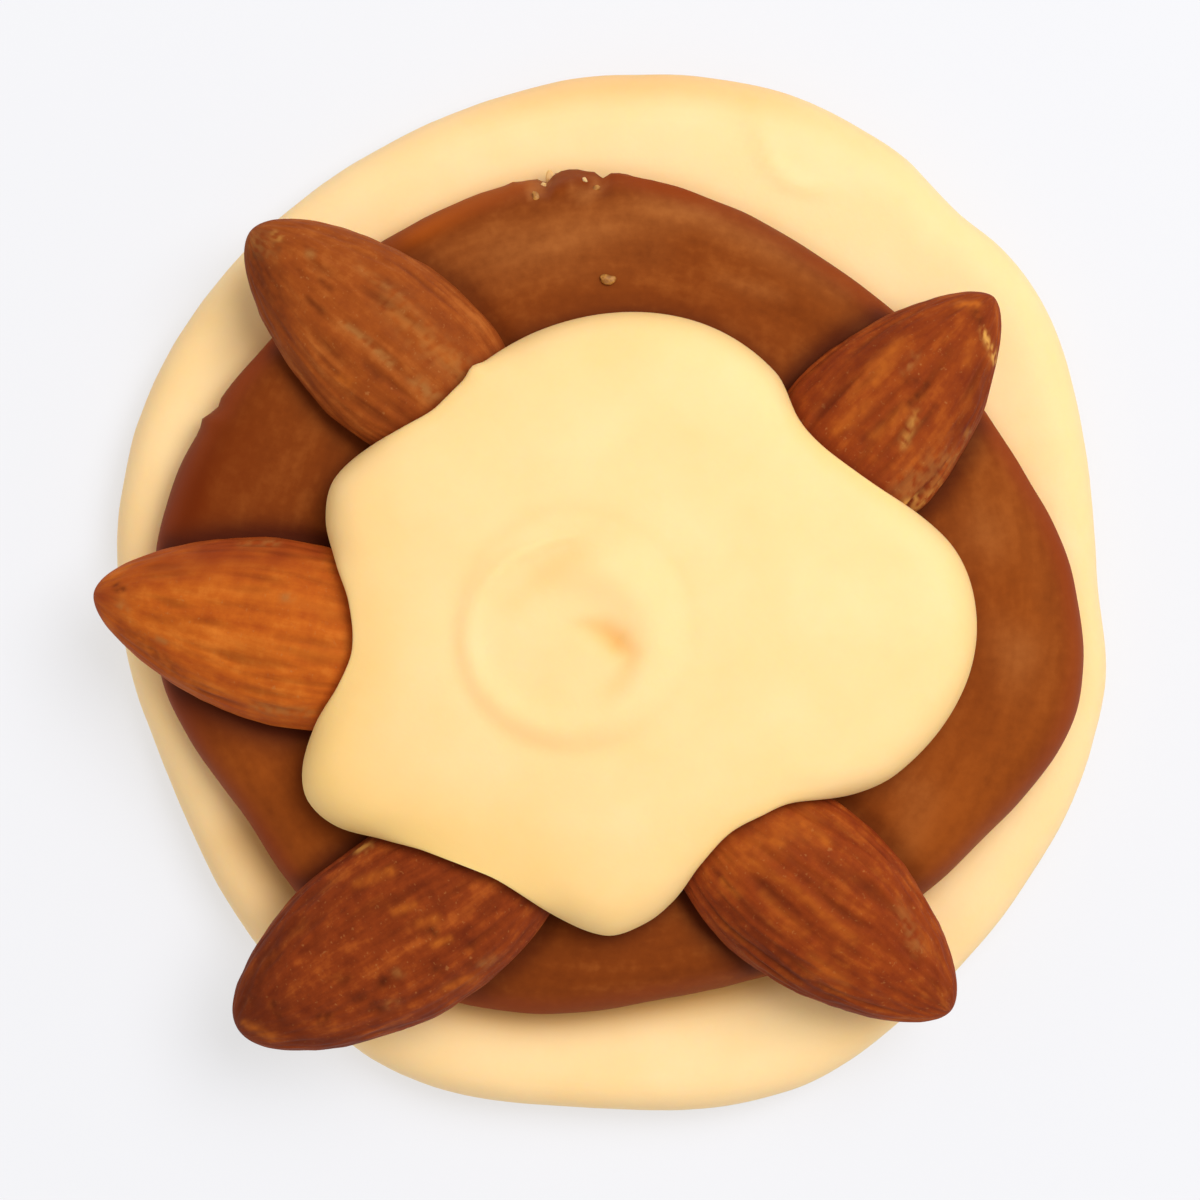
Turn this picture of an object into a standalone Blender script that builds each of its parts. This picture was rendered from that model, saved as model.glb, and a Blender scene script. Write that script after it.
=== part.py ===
"""A turtle sweet: a poured white chocolate base, a caramel disc, five whole almonds for the head and
the feet, and a white chocolate dollop for the shell, with the soft swirl that the piping leaves.

Metres, +Z up. The origin is the middle of the flat underside, and the head points along -X.
"""

import math

import bmesh
import bpy
from mathutils import Matrix, Vector

# Space kept between pieces that touch
GAP = 0.0003

# Poured base. An outline is a closed curve through (degrees, radius) points round a centre.
BASE_THICK = 0.0060
BASE_WIDEST = 0.0018
BASE_FOOT = 0.0011
BASE_SHOULDER = 0.0040
BASE_CENTRE = (0.0, 0.0)
BASE_OUTLINE = (
    (0, 0.0352), (12, 0.0354), (34, 0.0374), (41, 0.0374), (47, 0.0369), (56, 0.0376),
    (68, 0.0378), (90, 0.0368), (115, 0.0355), (138, 0.0354), (160, 0.0354), (180, 0.0347),
    (205, 0.0338), (224, 0.0352), (246, 0.0373), (268, 0.0368), (290, 0.0379), (308, 0.0370),
    (328, 0.0365), (349, 0.0363),
)

# Caramel: a soft disc on the base, with a round side
CARAMEL_THICK = 0.0049
CARAMEL_WIDEST = 0.0013
CARAMEL_FOOT = 0.0008
CARAMEL_SHOULDER = 0.0042
CARAMEL_CENTRE = (0.0010, 0.0)
CARAMEL_OUTLINE = (
    (0, 0.0319), (22, 0.0287), (52, 0.0271), (72, 0.0278), (94, 0.0295), (120, 0.0294),
    (144, 0.0301), (168, 0.0324), (190, 0.0327), (210, 0.0309), (235, 0.0318), (256, 0.0305),
    (276, 0.0287), (300, 0.0295), (324, 0.0306), (344, 0.0330),
)

# Dollop: five lobes between the almonds, and a bay over each almond
DOLLOP_TOP = 0.0188
DOLLOP_FALL = 0.0025
DOLLOP_FALL_RADIUS = 0.0245
DOLLOP_FOOT = 0.0008
DOLLOP_SHOULDER = 0.0046
DOLLOP_LIP = 0.0010
DOLLOP_SINK = 0.0006
DOLLOP_CENTRE = (0.0010, -0.0020)
DOLLOP_OUTLINE = (
    (0, 0.0247), (12, 0.0237), (26, 0.0203), (42, 0.0184), (58, 0.0202), (78, 0.0213),
    (106, 0.0208), (130, 0.0195), (153, 0.0222), (168, 0.0202), (184, 0.0187), (198, 0.0220),
    (210, 0.0251), (224, 0.0220), (242, 0.0199), (267, 0.0217), (281, 0.0197), (297, 0.0166),
    (314, 0.0175), (331, 0.0219), (348, 0.0243),
)

# Swirl on the dollop: a groove round it, a bead that winds in from it, and a pit by the bead's tail
SWIRL_CENTRE = (-0.0022, -0.0026)
SWIRL_REACH = 0.0096
GROOVE_RADIUS = 0.0081
GROOVE_WIDTH = 0.0007
GROOVE_DEPTH = 0.0002
BEAD_START = math.radians(82)
BEAD_RADIUS = 0.0070
BEAD_TURNS = 1.25
BEAD_TIGHTENING = 4
BEAD_WIDTH = 0.0013
BEAD_RISE = 0.0005
BEAD_FADE_IN = 0.3
PIT_CENTRE = (0.0003, -0.0031)
PIT_HEADING = math.radians(-35)
PIT_LENGTH = 0.0015
PIT_WIDTH = 0.0008
PIT_DEPTH = 0.0006

# Almonds. Each is placed by its outer tip, and its heading runs from the tip to its inner end.
ALMOND_HEIGHT = 0.0120
ALMOND_BELLY = 0.55
ALMONDS = {
    "almond_head": {
        "tip": (-0.0355, -0.00035), "heading": -11, "droop": 8, "roll": 2,
        "length": 0.0240, "width": 0.0127, "thick": 0.0074,
        "widest": 0.60, "fullness": 0.41, "bend": 0.00015,
    },
    "almond_front_right": {
        "tip": (-0.0245, 0.0250), "heading": -40.5, "droop": 4, "roll": -3,
        "length": 0.0232, "width": 0.0124, "thick": 0.0072,
        "widest": 0.58, "fullness": 0.42, "bend": 0.0,
    },
    "almond_front_left": {
        "tip": (-0.0255, -0.0304), "heading": 32, "droop": 9, "roll": 3,
        "length": 0.0258, "width": 0.0130, "thick": 0.0074,
        "widest": 0.55, "fullness": 0.44, "bend": 0.0,
    },
    "almond_rear_left": {
        "tip": (0.0240, -0.0291), "heading": 140.5, "droop": 8, "roll": -4,
        "length": 0.0244, "width": 0.0126, "thick": 0.0072,
        "widest": 0.57, "fullness": 0.45, "bend": 0.0,
    },
    "almond_rear_right": {
        "tip": (0.0269, 0.0204), "heading": 227.5, "droop": 4, "roll": 4,
        "length": 0.0232, "width": 0.0123, "thick": 0.0072,
        "widest": 0.58, "fullness": 0.47, "bend": 0.0,
    },
}

# Fineness of the solids
BASE_SIDES = 64
CARAMEL_SIDES = 64
DOLLOP_SIDES = 72
EDGE_STEPS = 5
DOME_STEPS = 3
SWIRL_STEPS = 12
ALMOND_SIDES = 22
ALMOND_RINGS = 14
SHARP_ANGLE = math.radians(50)

# Looks: colour, roughness
WHITE_CHOCOLATE = ((0.98, 0.76, 0.38, 1.0), 0.45)
CARAMEL = ((0.27, 0.085, 0.022, 1.0), 0.28)
ALMOND_SKIN = ((0.27, 0.075, 0.018, 1.0), 0.6)

CARAMEL_TOP = BASE_THICK + GAP + CARAMEL_THICK
DOLLOP_FLOOR = CARAMEL_TOP + GAP


def clear_scene():
    for obj in list(bpy.data.objects):
        bpy.data.objects.remove(obj)


def material(name, look):
    colour, roughness = look
    made = bpy.data.materials.new(name)
    made.use_nodes = True
    shader = made.node_tree.nodes["Principled BSDF"]
    shader.inputs["Base Color"].default_value = colour
    shader.inputs["Roughness"].default_value = roughness
    shader.inputs["Metallic"].default_value = 0.0
    return made


def object_from(mesh, name, look):
    bmesh.ops.recalc_face_normals(mesh, faces=mesh.faces)
    data = bpy.data.meshes.new(name)
    mesh.to_mesh(data)
    mesh.free()
    data.shade_smooth()
    data.set_sharp_from_angle(angle=SHARP_ANGLE)
    data.materials.append(look)
    obj = bpy.data.objects.new(name, data)
    bpy.context.scene.collection.objects.link(obj)
    return obj


def smooth_radius(outline, degrees):
    """The outline's radius at an angle, on a smooth closed curve through its points."""
    degrees %= 360
    before = [(angle - 360, radius) for angle, radius in outline[-1:]]
    after = [(angle + 360, radius) for angle, radius in outline[:2]]
    points = before + list(outline) + after
    start = max(i for i, point in enumerate(points[:-2]) if point[0] <= degrees)
    angle_a, angle_b, angle_c, angle_d = [point[0] for point in points[start - 1:start + 3]]
    radius_a, radius_b, radius_c, radius_d = [point[1] for point in points[start - 1:start + 3]]
    span = angle_c - angle_b
    share = (degrees - angle_b) / span
    slope_b = (radius_c - radius_a) / (angle_c - angle_a) * span
    slope_c = (radius_d - radius_b) / (angle_d - angle_b) * span
    return (
        radius_b * (1 + 2 * share) * (1 - share) ** 2
        + slope_b * share * (1 - share) ** 2
        + radius_c * (3 - 2 * share) * share ** 2
        - slope_c * (1 - share) * share ** 2
    )


def outline_ring(outline, centre, inset, height, sides):
    ring = []
    for i in range(sides):
        degrees = 360 * i / sides
        radius = smooth_radius(outline, degrees) - inset
        angle = math.radians(degrees)
        ring.append(Vector((
            centre[0] + radius * math.cos(angle),
            centre[1] + radius * math.sin(angle),
            height,
        )))
    return ring


def bridged_solid(name, rings, look, peak=None):
    """One closed solid through a stack of rings, flat at both ends or with its lid raised to a peak."""
    mesh = bmesh.new()
    loops = []
    for ring in rings:
        verts = [mesh.verts.new(point) for point in ring]
        loops.append([mesh.edges.new((verts[i - 1], verts[i])) for i in range(len(verts))])
    for under, over in zip(loops, loops[1:]):
        bmesh.ops.bridge_loops(mesh, edges=under + over)
    bmesh.ops.edgeloop_fill(mesh, edges=loops[0])
    lid = bmesh.ops.edgeloop_fill(mesh, edges=loops[-1])["faces"]
    if peak is not None:
        for vert in bmesh.ops.poke(mesh, faces=lid)["verts"]:
            vert.co.z = peak
    return object_from(mesh, name, look)


def poured_disc(name, outline, centre, sides, bottom, thick, widest, foot, shoulder, look):
    """A slab whose side is a quarter ellipse out from the foot, then one in to the shoulder."""
    rings = []
    for i in range(EDGE_STEPS):
        angle = math.pi / 2 * i / EDGE_STEPS
        inset = foot * (1 - math.sin(angle))
        height = bottom + widest * (1 - math.cos(angle))
        rings.append(outline_ring(outline, centre, inset, height, sides))
    for i in range(EDGE_STEPS + 1):
        angle = math.pi / 2 * i / EDGE_STEPS
        inset = shoulder * (1 - math.cos(angle))
        height = bottom + widest + (thick - widest) * math.sin(angle)
        rings.append(outline_ring(outline, centre, inset, height, sides))
    return bridged_solid(name, rings, look)


def almond_place(almond):
    """The almond's own axes in the part. Local X runs from its outer tip to its inner end."""
    turn = (
        Matrix.Rotation(math.radians(almond["heading"]), 4, "Z")
        @ Matrix.Rotation(math.radians(-almond["droop"]), 4, "Y")
        @ Matrix.Rotation(math.radians(almond["roll"]), 4, "X")
    )
    along = turn @ Vector((almond["length"] / 2, 0, 0))
    tip_x, tip_y = almond["tip"]
    return Matrix.Translation((tip_x + along.x, tip_y + along.y, ALMOND_HEIGHT)) @ turn


def almond_section(almond, share):
    """The sideways middle, half width and half thickness at a share of the length from the tip."""
    side = math.sin(math.pi * share ** (math.log(0.5) / math.log(almond["widest"])))
    belly = math.sin(math.pi * share ** (math.log(0.5) / math.log(ALMOND_BELLY)))
    middle = almond["bend"] * (1 - share) ** 2
    half_width = almond["width"] / 2 * max(side, 0) ** almond["fullness"]
    half_thick = almond["thick"] / 2 * max(belly, 0) ** 0.5
    return middle, half_width, half_thick


def almond_solid(name, almond, look, grow=0.0):
    """A round ball drawn out to the almond's sections, and larger all round by grow."""
    mesh = bmesh.new()
    bmesh.ops.create_uvsphere(
        mesh, u_segments=ALMOND_SIDES, v_segments=ALMOND_RINGS, radius=1.0,
        matrix=Matrix.Rotation(math.pi / 2, 4, "Y"),
    )
    for vert in mesh.verts:
        along = min(max(vert.co.x, -1), 1)
        angle = math.atan2(vert.co.z, vert.co.y)
        middle, half_width, half_thick = almond_section(almond, (1 + along) / 2)
        swell = grow * (1 - along * along) ** 0.25
        vert.co = (
            along * (almond["length"] / 2 + grow),
            middle + (half_width + swell) * math.cos(angle),
            (half_thick + swell) * math.sin(angle),
        )
    obj = object_from(mesh, name, look)
    obj.matrix_world = almond_place(almond)
    return obj


def almond_top(x, y):
    """The height of the almond surface over a point, or of the caramel where there is no almond."""
    highest = CARAMEL_TOP
    for almond in ALMONDS.values():
        place = almond_place(almond)
        local = place.inverted() @ Vector((x, y, ALMOND_HEIGHT))
        share = local.x / almond["length"] + 0.5
        if not 0.01 < share < 0.99:
            continue
        middle, half_width, half_thick = almond_section(almond, share)
        across = (local.y - middle) / half_width
        if abs(across) < 1:
            surface = Vector((local.x, local.y, half_thick * math.sqrt(1 - across * across)))
            highest = max(highest, (place @ surface).z)
    return highest


def hump(distance, width):
    return math.exp(-((distance / width) ** 2))


def swirl_relief(x, y):
    """How far the swirl lifts or dents the dollop's dome at a point."""
    across = x - SWIRL_CENTRE[0]
    up = y - SWIRL_CENTRE[1]
    radius = math.hypot(across, up)
    groove = GROOVE_DEPTH * hump(radius - GROOVE_RADIUS, GROOVE_WIDTH)

    bead = 0.0
    turn = ((math.atan2(up, across) - BEAD_START) / (2 * math.pi)) % 1
    while turn < BEAD_TURNS:
        arm = BEAD_RADIUS * (1 - (turn / BEAD_TURNS) ** BEAD_TIGHTENING)
        strength = min(turn / BEAD_FADE_IN, 1)
        bead = max(bead, strength * hump(radius - arm, BEAD_WIDTH))
        turn += 1

    from_pit = Vector((x - PIT_CENTRE[0], y - PIT_CENTRE[1]))
    pit_line = Vector((math.cos(PIT_HEADING), math.sin(PIT_HEADING)))
    pit = hump(from_pit.dot(pit_line), PIT_LENGTH) * hump(from_pit.cross(pit_line), PIT_WIDTH)
    return BEAD_RISE * bead - groove - PIT_DEPTH * pit


def dollop_height(x, y):
    out = math.hypot(x - DOLLOP_CENTRE[0], y - DOLLOP_CENTRE[1]) / DOLLOP_FALL_RADIUS
    return DOLLOP_TOP - DOLLOP_FALL * out * out + swirl_relief(x, y)


def dollop_outline(inset):
    return outline_ring(DOLLOP_OUTLINE, DOLLOP_CENTRE, inset, DOLLOP_FLOOR, DOLLOP_SIDES)


def dollop_supports():
    """The height of what the dollop's edge lies on, evened out between neighbouring points."""
    under = [almond_top(point.x, point.y) for point in dollop_outline(0.0)]
    return [(under[i - 1] + under[i] + under[(i + 1) % len(under)]) / 3 for i in range(len(under))]


def dollop_edge_rings():
    """Rings from the flat underside out to the foot, and over the round edge to the shoulder."""
    supports = dollop_supports()
    rings = [dollop_outline(DOLLOP_SHOULDER)]
    for i in range(EDGE_STEPS):
        angle = math.pi / 2 * i / EDGE_STEPS
        ring = dollop_outline(DOLLOP_FOOT * (1 - math.sin(angle)))
        for point, support in zip(ring, supports):
            low = max(DOLLOP_FLOOR, support - DOLLOP_SINK)
            point.z = low + (support + DOLLOP_LIP - low) * (1 - math.cos(angle))
        rings.append(ring)
    for i in range(EDGE_STEPS + 2):
        angle = math.pi / 2 * i / (EDGE_STEPS + 1)
        ring = dollop_outline(DOLLOP_SHOULDER * (1 - math.cos(angle)))
        for point, support in zip(ring, supports):
            low = support + DOLLOP_LIP
            point.z = low + (dollop_height(point.x, point.y) - low) * math.sin(angle)
        rings.append(ring)
    return rings


def dollop_dome_rings(shoulder):
    """Rings from the shoulder in to a circle round the swirl, and on towards its middle."""
    middle = Vector(SWIRL_CENTRE)
    spokes = [point.to_2d() - middle for point in shoulder]
    circles = [spoke.normalized() * SWIRL_REACH for spoke in spokes]
    rings = []
    for i in range(1, DOME_STEPS):
        rings.append([middle + spoke.lerp(circle, i / DOME_STEPS) for spoke, circle in zip(spokes, circles)])
    for i in range(SWIRL_STEPS):
        rings.append([middle + circle * (1 - i / SWIRL_STEPS) for circle in circles])
    return [[Vector((point.x, point.y, dollop_height(*point))) for point in ring] for ring in rings]


def dollop_solid(look):
    edge = dollop_edge_rings()
    dome = dollop_dome_rings(edge[-1])
    return bridged_solid("dollop", edge + dome, look, peak=dollop_height(*SWIRL_CENTRE))


def cut_by_almonds(obj, cutters):
    for cutter in cutters:
        cut = obj.modifiers.new(cutter.name, "BOOLEAN")
        cut.operation = "DIFFERENCE"
        cut.solver = "EXACT"
        cut.object = cutter


def build():
    clear_scene()
    white = material("white_chocolate", WHITE_CHOCOLATE)
    toffee = material("caramel", CARAMEL)
    skin = material("almond_skin", ALMOND_SKIN)

    poured_disc(
        "base", BASE_OUTLINE, BASE_CENTRE, BASE_SIDES, 0.0, BASE_THICK,
        BASE_WIDEST, BASE_FOOT, BASE_SHOULDER, white,
    )
    caramel = poured_disc(
        "caramel", CARAMEL_OUTLINE, CARAMEL_CENTRE, CARAMEL_SIDES, BASE_THICK + GAP, CARAMEL_THICK,
        CARAMEL_WIDEST, CARAMEL_FOOT, CARAMEL_SHOULDER, toffee,
    )
    dollop = dollop_solid(white)

    cutters = []
    for name, almond in ALMONDS.items():
        almond_solid(name, almond, skin)
        cutter = almond_solid(name + "_socket", almond, skin, grow=GAP)
        cutter.hide_render = True
        cutter.display_type = "WIRE"
        cutters.append(cutter)
    cut_by_almonds(caramel, cutters)
    cut_by_almonds(dollop, cutters)


build()
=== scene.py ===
import math

import bmesh
import bpy
import numpy as np
from mathutils import Matrix, Vector, noise


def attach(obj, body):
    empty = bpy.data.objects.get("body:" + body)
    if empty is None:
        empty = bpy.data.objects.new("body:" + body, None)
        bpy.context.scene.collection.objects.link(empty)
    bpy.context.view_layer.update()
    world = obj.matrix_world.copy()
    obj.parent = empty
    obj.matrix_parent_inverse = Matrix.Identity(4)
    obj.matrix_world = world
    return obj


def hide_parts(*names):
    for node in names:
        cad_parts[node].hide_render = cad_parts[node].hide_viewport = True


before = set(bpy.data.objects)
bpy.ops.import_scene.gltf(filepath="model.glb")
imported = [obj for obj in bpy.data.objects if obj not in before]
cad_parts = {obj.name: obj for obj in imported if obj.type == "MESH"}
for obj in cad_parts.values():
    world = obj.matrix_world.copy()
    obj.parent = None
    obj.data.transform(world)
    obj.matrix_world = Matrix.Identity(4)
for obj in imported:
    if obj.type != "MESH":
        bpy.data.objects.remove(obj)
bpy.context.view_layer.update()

scene = bpy.context.scene
scene.view_settings.view_transform = "Standard"
mm = 0.001
flat = (1, 1, 0)          # times a point, this is its place in plan
hair = 1e-7               # metres, less than any length in the shapes
print("frame loaded:", ", ".join(sorted(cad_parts)))


def hexColour(code):
    # sRGB hex to the linear colour that the sockets want
    parts = [int(code[i:i + 2], 16) / 255 for i in (1, 3, 5)]
    return (*[p / 12.92 if p <= 0.04045 else ((p + 0.055) / 1.055) ** 2.4 for p in parts], 1.0)


def wire(tree, node, values=None, links=None):
    # sets and links a node's inputs, by socket name or number; a node stands for its first output
    for socket, value in (values or {}).items():
        node.inputs[socket].default_value = value
    for socket, source in (links or {}).items():
        if isinstance(source, bpy.types.Node):
            source = source.outputs[0]
        tree.links.new(source, node.inputs[socket])


def addNode(tree, kind, values=None, links=None, ramp=None, **settings):
    # ramp is a list of (place, hex colour)
    node = tree.nodes.new("ShaderNode" + kind)
    for name, value in settings.items():
        setattr(node, name, value)
    wire(tree, node, values, links)
    if ramp:
        stops = node.color_ramp.elements
        while len(stops) < len(ramp):
            stops.new(1.0)
        for stop, (place, code) in zip(stops, ramp):
            stop.position = place
            stop.color = hexColour(code)
    return node


def newMaterial(name):
    made = bpy.data.materials.new(name)
    made.use_nodes = True
    tree = made.node_tree
    return made, tree, tree.nodes["Principled BSDF"]


def objectPlace(tree):
    # a point's place on its object in millimetres, so that a pattern's scale is in lumps per millimetre
    place = addNode(tree, "TexCoord")
    inMm = addNode(tree, "Mapping", {"Scale": (1 / mm, 1 / mm, 1 / mm)}, {"Vector": place.outputs["Object"]})
    return {"Vector": inMm}


def layColours(tree, colour, layers):
    # lays each (amount, hex colour) over what is below it
    for amount, code in layers:
        mixed = addNode(tree, "Mix", {7: hexColour(code)}, {0: amount, 6: colour}, data_type="RGBA")
        colour = mixed.outputs[2]
    return colour


def readPoints(obj):
    points = np.empty(len(obj.data.vertices) * 3)
    obj.data.vertices.foreach_get("co", points)
    return points.reshape(-1, 3)


def writePoints(obj, points):
    obj.data.vertices.foreach_set("co", np.asarray(points, float).ravel())
    obj.data.update()


def paint(obj, name, values):
    # a number or a vector for each point, which the material reads by its name
    values = np.asarray(values, np.float32)
    kind, field = ("FLOAT", "value") if values.ndim == 1 else ("FLOAT_VECTOR", "vector")
    layer = obj.data.attributes.new(name, kind, "POINT")
    layer.data.foreach_set(field, values.ravel())


def bumps(points, size, seed=0.0):
    # soft noise between about -1 and 1, with lumps of the given size in millimetres
    shift = Vector((seed * 7.31, seed * 3.17, seed * 5.73))
    return np.array([noise.noise(Vector(p) + shift) for p in points / (size * mm)])


def layered(points, rows, seed=0):
    # relief in metres, from rows of (lump size, seed, height) in millimetres
    return sum(bumps(points, size, seed + own) * height * mm for size, own, height in rows)


def patchy(points, size, own, mean, swing, seed=0):
    # a strength that changes in patches of the given size
    return mean + swing * bumps(points, size, seed + own)


def hump(distance, width):
    return np.exp(-(np.asarray(distance) / width) ** 2)


def smoothStep(value, low, high):
    share = np.clip((value - low) / (high - low), 0, 1)
    return share * share * (3 - 2 * share)


def brush(points, path, dabs=16):
    # How strongly a stroke touches each point, seen from above. The path's rows are (x, y, half width,
    # strength), in millimetres, and there are dabs from each row to the next.
    rows = np.array(path, float)
    steps = np.linspace(0, len(rows) - 1, dabs * (len(rows) - 1) + 1)
    rows = np.stack([np.interp(steps, np.arange(len(rows)), column) for column in rows.T], 1)
    touch = np.zeros(len(points))
    for x, y, width, strength in rows:
        gap = np.hypot(points[:, 0] - x * mm, points[:, 1] - y * mm)
        touch = np.maximum(touch, strength * hump(gap, width * mm))
    return touch


def aroundPath(centre, rows, step=5):
    # path for brush from rows of (degrees, millimetres out, half width, strength) round a centre
    degrees, out, width, strength = np.array(rows, float).T
    fine = np.linspace(degrees[0], degrees[-1], int((degrees[-1] - degrees[0]) / step) + 1)
    out, width, strength = [np.interp(fine, degrees, column) for column in (out, width, strength)]
    turn = np.radians(fine)
    return np.stack((centre[0] + out * np.cos(turn), centre[1] + out * np.sin(turn), width, strength), 1)


def outlineRadius(outline, degrees):
    # closed smooth curve through (degrees, millimetres from the centre)
    angles, radii = np.array(outline, float).T
    angles = np.concatenate((angles[-1:] - 360, angles, angles[:2] + 360))
    radii = np.concatenate((radii[-1:], radii, radii[:2])) * mm
    slopes = (radii[2:] - radii[:-2]) / (angles[2:] - angles[:-2])
    degrees = np.asarray(degrees, float) % 360
    at = np.searchsorted(angles, degrees, side="right") - 1
    span = angles[at + 1] - angles[at]
    share = (degrees - angles[at]) / span
    return (
        radii[at] * (1 + 2 * share) * (1 - share) ** 2
        + slopes[at - 1] * span * share * (1 - share) ** 2
        + radii[at + 1] * (3 - 2 * share) * share ** 2
        - slopes[at] * span * (1 - share) * share ** 2
    )


def roundAbout(rows, degrees):
    # strength that changes round a piece, from (degrees, strength)
    angles, strength = np.array(rows, float).T
    return np.interp(np.asarray(degrees) % 360, angles, strength, period=360)


def besideLayer(points, layer):
    # how far each point is outside a poured layer, seen from above, and in which direction it is
    out = points[:, :2] - np.array(layer["centre"]) * mm
    degrees = np.degrees(np.arctan2(out[:, 1], out[:, 0]))
    return np.maximum(np.hypot(*out.T) - outlineRadius(layer["outline"], degrees), 0), degrees


def selectEdges(obj, wanted):
    mesh = bmesh.from_edit_mesh(obj.data)
    for edge in mesh.edges:
        edge.select_set(bool(wanted(edge)))
    mesh.select_flush_mode()
    bmesh.update_edit_mesh(obj.data)


def quarterRound(foot, widest, shoulder, top, low=5, high=12, square=1.0):
    # Side of a poured layer: out and up from the foot, then up and in to the shoulder, in millimetres.
    # Below 1, square makes the shoulder fuller.
    steps = []
    for i in range(low):
        turn = math.pi / 2 * i / low
        steps.append((foot * (1 - math.sin(turn)), widest * (1 - math.cos(turn))))
    for i in range(high + 1):
        turn = math.pi / 2 * i / high
        inward = shoulder * (1 - max(math.cos(turn), 0) ** square)
        steps.append((inward, widest + (top - widest) * math.sin(turn) ** square))
    return steps


def pourRound(name, pour):
    # A filled circle is drawn up its round side ring by ring, then in over the top to a tiny middle,
    # and the top is cut into rings.
    side = [(inset * mm, rise * mm) for inset, rise in pour["side"]]
    radius = pour["radius"] * mm
    middle = (pour["centre"][0] * mm, pour["centre"][1] * mm)
    tinyRing = 0.05 * mm
    bpy.ops.mesh.primitive_circle_add(
        vertices=pour["sides"], radius=radius - side[0][0], fill_type="NGON",
        location=(*middle, pour["bottom"] * mm + side[0][1]),
    )
    layer = bpy.context.object
    layer.name = name
    bpy.ops.object.transform_apply(location=True, rotation=True, scale=True)
    bpy.ops.object.mode_set(mode="EDIT")
    bpy.ops.mesh.select_mode(type="FACE")
    bpy.ops.mesh.select_all(action="SELECT")
    for (inset, rise), (nextInset, nextRise) in zip(side, side[1:]):
        grow = (radius - nextInset) / (radius - inset)
        bpy.ops.mesh.extrude_region_move(TRANSFORM_OT_translate={"value": (0, 0, nextRise - rise)})
        bpy.ops.transform.resize(value=(grow, grow, 1), center_override=(*middle, 0))
    shrink = tinyRing / (radius - side[-1][0])
    bpy.ops.mesh.extrude_region_move(TRANSFORM_OT_translate={"value": (0, 0, 0)})
    bpy.ops.transform.resize(value=(shrink, shrink, 1), center_override=(*middle, 0))

    # spokes of the top, from its edge to the tiny middle
    def isSpoke(edge):
        reach = [math.hypot(v.co.x - middle[0], v.co.y - middle[1]) for v in edge.verts]
        return min(reach) < 2 * tinyRing and max(reach) > 20 * tinyRing
    bpy.ops.mesh.select_mode(type="EDGE")
    selectEdges(layer, isSpoke)
    bpy.ops.mesh.subdivide(number_cuts=pour["topRings"])
    bpy.ops.mesh.select_all(action="SELECT")
    bpy.ops.mesh.normals_make_consistent(inside=False)
    bpy.ops.object.mode_set(mode="OBJECT")
    bpy.ops.object.shade_smooth()
    return layer


def layOnOutline(layer, pour):
    # moves each ring onto the outline: the round side keeps its width, the top is drawn in evenly
    points = readPoints(layer)
    centre = np.array(pour["centre"]) * mm
    out = points[:, :2] - centre
    reach = np.hypot(*out.T)
    degrees = np.degrees(np.arctan2(out[:, 1], out[:, 0]))
    radius = pour["radius"] * mm
    shoulder = pour["side"][-1][0] * mm
    edge = outlineRadius(pour["outline"], degrees)
    onSide = reach >= radius - shoulder - hair
    laid = np.where(onSide, edge - (radius - reach), (edge - shoulder) * reach / (radius - shoulder))
    points[:, :2] = centre + out * (laid / reach)[:, None]
    return points, degrees, laid, edge


def handOver(piece, node):
    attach(piece, "root")
    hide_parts(node)
    print(piece.name, len(piece.data.polygons), "faces")


# camera straight above, soft light from the upper right of the picture, pale paper below
camera = {"height": 0.330, "lens": 138.2, "sensor": 36, "x": -0.000345, "y": -0.000586}
lights = {
    # name: place, size, watts
    "key": ((0.27, 0.25, 0.64), 0.44, 2.2),
    "sheen": ((0.28, 0.14, 0.70), 0.40, 2.0),
}
lightsAim = (0, 0, 0.01)
roomLight = {"Color": hexColour("#FFF9F0"), "Strength": 0.64}
floorWidth = 1.6

bpy.ops.object.camera_add(location=(camera["x"], camera["y"], camera["height"]), rotation=(0, 0, 0))
scene.camera = bpy.context.object
scene.camera.data.lens = camera["lens"]
scene.camera.data.sensor_width = camera["sensor"]

for name, (place, size, watts) in lights.items():
    aim = (Vector(lightsAim) - Vector(place)).to_track_quat("-Z", "Y").to_euler()
    bpy.ops.object.light_add(type="AREA", location=place, rotation=aim)
    lamp = bpy.context.object
    lamp.name = name
    lamp.data.shape = "SQUARE"
    lamp.data.size = size
    lamp.data.energy = watts

world = bpy.data.worlds.new("softRoom")
world.use_nodes = True
wire(world.node_tree, world.node_tree.nodes["Background"], roomLight)
scene.world = world

bpy.ops.mesh.primitive_plane_add(size=floorWidth, location=(0, 0, 0))
floor = bpy.context.object
floor.name = "floor"
paper, tree, shader = newMaterial("matt_white_paper")     # even and dull, on a pale light table
wire(tree, shader, {
    "Base Color": hexColour("#90929A"), "Roughness": 0.9, "Specular IOR Level": 0.1,
    "Emission Color": (1, 1, 1, 1), "Emission Strength": 0.58,
})
floor.data.materials.append(paper)
print("camera, lights and floor")


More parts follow.
